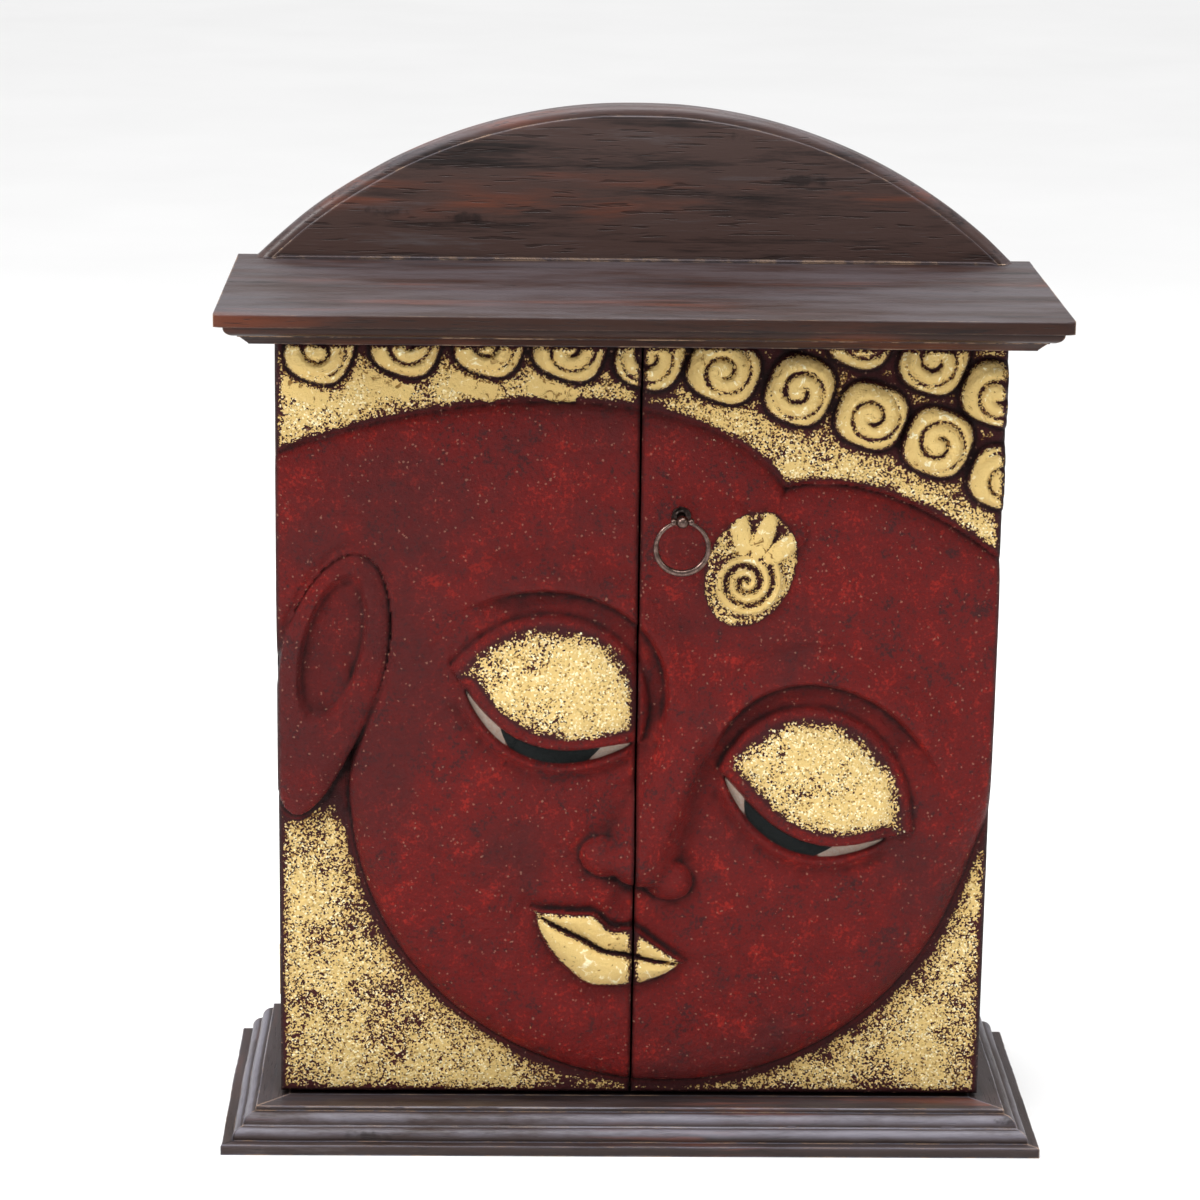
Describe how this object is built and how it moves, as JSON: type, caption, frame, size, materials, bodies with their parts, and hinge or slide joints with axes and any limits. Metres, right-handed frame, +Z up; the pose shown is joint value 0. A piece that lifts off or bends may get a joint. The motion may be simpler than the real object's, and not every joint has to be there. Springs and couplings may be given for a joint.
{
  "type": "carved two-door cabinet",
  "caption": "Small wooden cabinet with a moulded base, a cornice shelf, an arched crest and hinged doors carved in relief with a calm tilted face.",
  "frame": {"origin": "under the middle of the cabinet, on the surface that the base stands on", "axes": "+Z up, +Y from the doors to the back, +X to the right seen from the front"},
  "size_m": [0.388, 0.1608, 0.48],
  "materials": {
    "dark_wood": "dark brown stain, worn and waxed",
    "inner_wood": "brown stain, thinner than outside",
    "dowel_wood": "bare wood",
    "red_lacquer": "dark red lacquer rubbed with black, with gold leaf",
    "aged_brass": "dull, tarnished",
    "aged_iron": "dark bronze brown, rubbed bright on high spots",
    "zinc_steel": "dull zinc",
    "magnet": "dark grey, matt",
    "brown_plastic": "matt moulded brown"
  },
  "bodies": {
    "cabinet": {"base_board": "dark_wood", "base_moulding_front": "dark_wood", "base_moulding_left": "dark_wood", "base_moulding_right": "dark_wood", "bottom_panel": "inner_wood", "side_left": "dark_wood", "side_right": "dark_wood", "top_panel": "inner_wood", "back_panel": "dark_wood", "back_nails": "zinc_steel", "shelf": "inner_wood", "shelf_cleat_left": "inner_wood", "shelf_cleat_right": "inner_wood", "cornice_core": "dark_wood", "cornice_moulding_front": "dark_wood", "cornice_moulding_left": "dark_wood", "cornice_moulding_right": "dark_wood", "cornice_board": "dark_wood", "crest_board": "dark_wood", "crest_dowels": "dowel_wood", "base_screws": "zinc_steel", "cornice_screws": "zinc_steel", "hinge_frame_leaves": "aged_brass", "hinge_frame_screws": "zinc_steel", "hinge_pins": "aged_brass", "catch_cases": "brown_plastic", "catch_magnets": "magnet", "catch_screws": "zinc_steel"},
    "left_door": {"door_left": "red_lacquer", "hinge_door_leaves_left": "aged_brass", "hinge_door_screws_left": "zinc_steel", "strike_plate_left": "zinc_steel", "strike_screw_left": "zinc_steel"},
    "right_door": {"door_right": "red_lacquer", "hinge_door_leaves_right": "aged_brass", "hinge_door_screws_right": "zinc_steel", "strike_plate_right": "zinc_steel", "strike_screw_right": "zinc_steel", "pull_rosette": "aged_iron", "pull_post": "aged_iron", "pull_nut": "zinc_steel"},
    "ring": {"pull_ring": "aged_iron"}
  },
  "joints": [
    {"name": "left_door_hinge", "type": "hinge", "parent": "cabinet", "child": "left_door", "pos_m": [-0.166, -0.029, 0.2], "axis": [0, 0, -1], "range_deg": [0, 110]},
    {"name": "right_door_hinge", "type": "hinge", "parent": "cabinet", "child": "right_door", "pos_m": [0.166, -0.029, 0.2], "axis": [0, 0, 1], "range_deg": [0, 110]},
    {"name": "ring_swing", "type": "hinge", "parent": "right_door", "child": "ring", "pos_m": [0.019, -0.062, 0.307], "axis": [-1, 0, 0], "range_deg": [-18, 160]}
  ]
}
